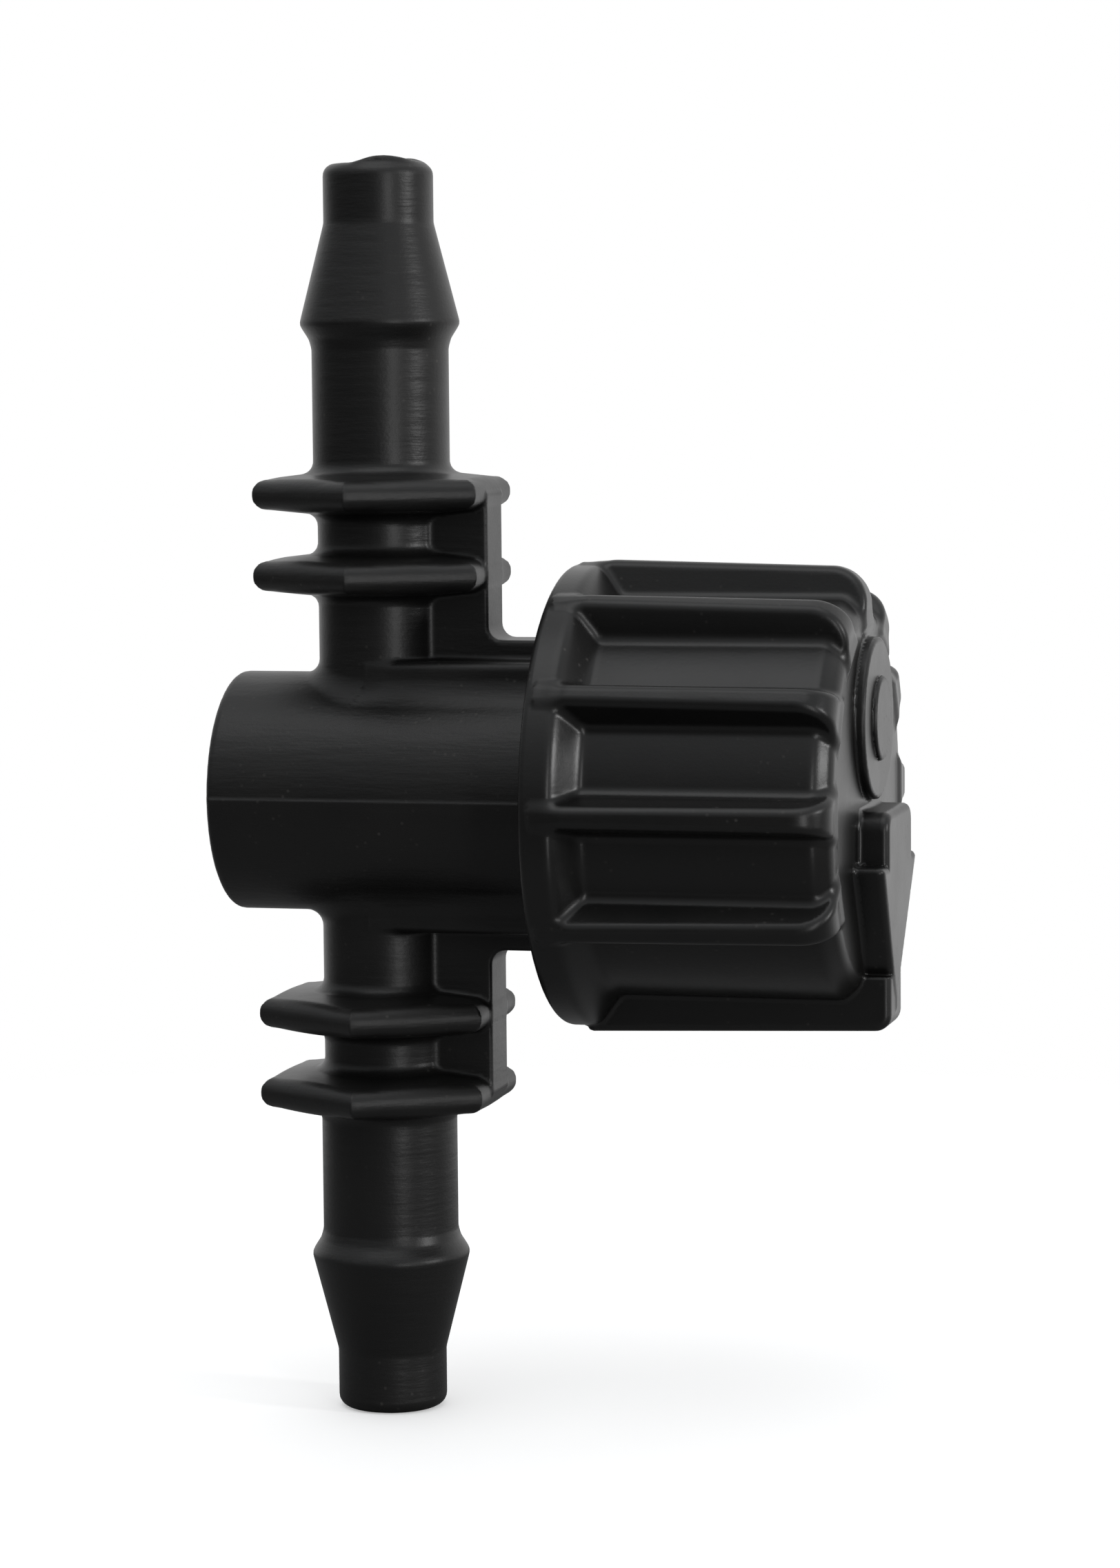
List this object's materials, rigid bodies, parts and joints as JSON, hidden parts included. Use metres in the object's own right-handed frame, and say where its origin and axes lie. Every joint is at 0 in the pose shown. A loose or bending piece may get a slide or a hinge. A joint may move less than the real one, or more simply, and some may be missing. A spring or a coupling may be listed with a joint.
{
  "type": "barbed in-line shut-off valve",
  "caption": "Barbed in-line quarter-turn shut-off valve for narrow drip tubing: a straight tube with a barb at each end, hex grip flanges and a ribbed knob on a side barrel.",
  "frame": {"origin": "centre of the lower barb's open end, on the tube axis", "axes": "+Z along the tube from the lower barb to the upper barb, +X along the knob axis towards the knob, +Y across the flow, away from the side that the pointer swings to when the valve shuts"},
  "size_m": [0.0213, 0.0146, 0.0396],
  "materials": {
    "body_moulding": "satin black moulded plastic",
    "knob_moulding": "semi-gloss black moulded plastic",
    "plug_moulding": "smooth natural acetal",
    "seal_rubber": "smooth black nitrile rubber"
  },
  "bodies": {
    "valve_body": {"valve_body": "body_moulding"},
    "knob": {"knob": "knob_moulding", "spindle": "plug_moulding", "inner_o_ring": "seal_rubber", "outer_o_ring": "seal_rubber"}
  },
  "joints": [
    {"name": "knob_turn", "type": "hinge", "parent": "valve_body", "child": "knob", "pos_m": [0, 0, 0.0197], "axis": [-1, 0, 0], "range_deg": [0, 90]}
  ]
}
